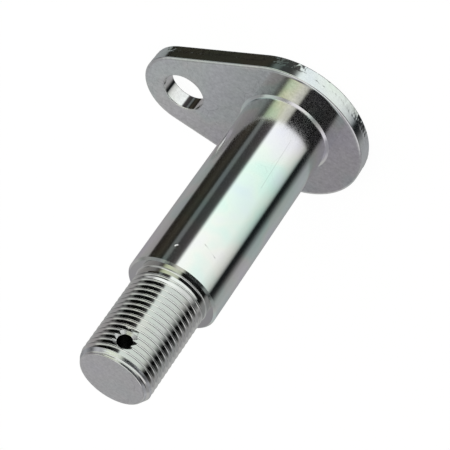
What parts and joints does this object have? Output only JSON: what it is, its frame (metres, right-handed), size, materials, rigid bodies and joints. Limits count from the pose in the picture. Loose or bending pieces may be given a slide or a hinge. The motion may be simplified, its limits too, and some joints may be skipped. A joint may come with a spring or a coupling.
{
  "type": "tie rod pin",
  "caption": "Headed steel pin with a plain shank, a shoulder, a threaded end with a split-pin cross hole, and a teardrop flag plate with a bolt hole in its lug.",
  "frame": {"origin": "on the pin's axis, in the flag plate's outer face", "axes": "+Z along the pin, towards its threaded end; +X towards the flag plate's lug"},
  "size_m": [0.0786, 0.0544, 0.1135],
  "materials": {
    "plate_zinc": "bright zinc plate over rolled strip, with sheared edges",
    "pin_zinc": "bright zinc plate over fine turning, almost a mirror",
    "weld_zinc": "zinc plate over a rippled weld"
  },
  "bodies": {
    "root": {"flag_plate": "plate_zinc", "pin": "pin_zinc", "rear_weld": "weld_zinc"}
  },
  "joints": []
}
